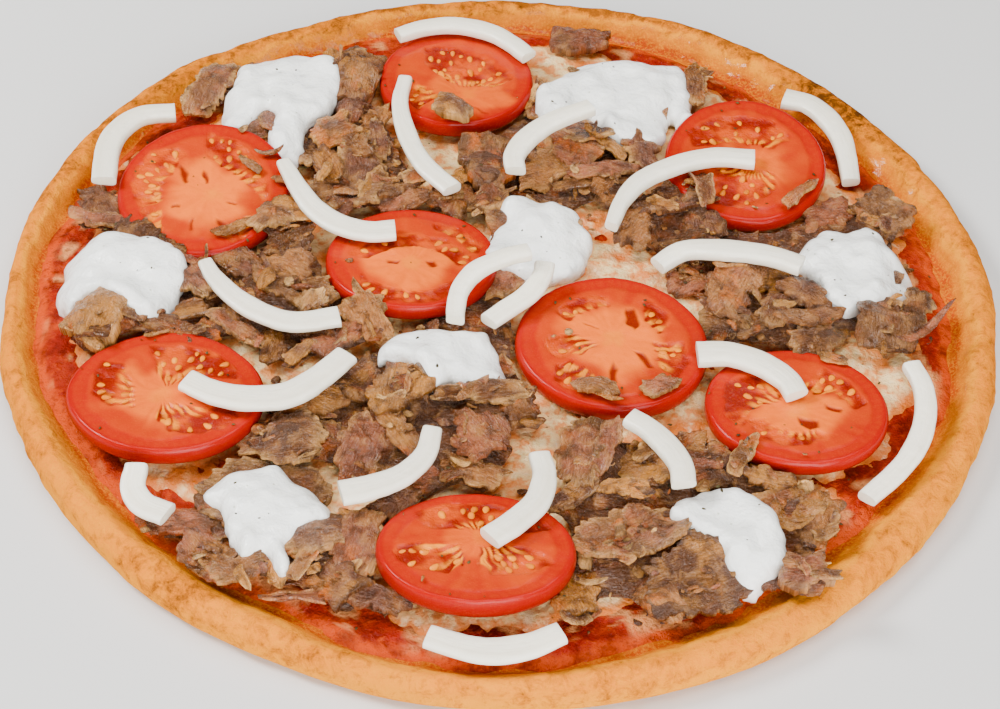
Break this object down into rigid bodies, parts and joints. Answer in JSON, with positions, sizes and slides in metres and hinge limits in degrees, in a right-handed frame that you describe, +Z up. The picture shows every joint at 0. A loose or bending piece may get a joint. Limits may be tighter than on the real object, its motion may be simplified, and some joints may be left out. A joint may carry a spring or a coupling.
{
  "type": "doner kebab pizza",
  "caption": "Whole round doner kebab pizza: browned rim, tomato sauce and melted cheese under shaved meat, tomato slices, raw onion strips and dollops of garlic sauce.",
  "frame": {"origin": "centre of the flat underside of the dough", "axes": "+Z up, out of the toppings; -Y towards the side nearest the viewer, +X to the viewer's right"},
  "size_m": [0.3002, 0.2988, 0.0295],
  "materials": {
    "baked_dough": "baked, dry, golden with brown patches",
    "tomato_sauce": "moist, red-orange, oily",
    "melted_cheese": "melted, oily, cream stained orange",
    "tomato": "wet cut face with a red skin",
    "doner_meat": "roasted, slightly greasy",
    "raw_onion": "moist, white, slightly translucent",
    "garlic_sauce": "thick, white, glossy"
  },
  "bodies": {
    "root": {"crust": "baked_dough", "tomato_sauce": "tomato_sauce", "melted_cheese": "melted_cheese", "tomato_1": "tomato", "tomato_2": "tomato", "tomato_3": "tomato", "tomato_4": "tomato", "tomato_5": "tomato", "tomato_6": "tomato", "tomato_7": "tomato", "tomato_8": "tomato", "meat_north_west": "doner_meat", "meat_north": "doner_meat", "meat_east": "doner_meat", "meat_west": "doner_meat", "meat_south": "doner_meat", "meat_south_west": "doner_meat", "meat_south_east": "doner_meat", "meat_rim_west": "doner_meat", "meat_scrap_north": "doner_meat", "meat_scrap_leaf": "doner_meat", "meat_scrap_rim": "doner_meat", "meat_scrap_curl": "doner_meat", "meat_scrap_south": "doner_meat", "meat_scrap_pink": "doner_meat", "dollop_1": "garlic_sauce", "dollop_2": "garlic_sauce", "dollop_3": "garlic_sauce", "dollop_4": "garlic_sauce", "dollop_5": "garlic_sauce", "dollop_6": "garlic_sauce", "dollop_7": "garlic_sauce", "dollop_8": "garlic_sauce", "onion_01": "raw_onion", "onion_02": "raw_onion", "onion_03": "raw_onion", "onion_04": "raw_onion", "onion_05": "raw_onion", "onion_06": "raw_onion", "onion_07": "raw_onion", "onion_08": "raw_onion", "onion_09": "raw_onion", "onion_10": "raw_onion", "onion_11": "raw_onion", "onion_12": "raw_onion", "onion_13": "raw_onion", "onion_14": "raw_onion", "onion_15": "raw_onion", "onion_16": "raw_onion", "onion_17": "raw_onion", "onion_18": "raw_onion", "onion_19": "raw_onion"}
  },
  "joints": []
}
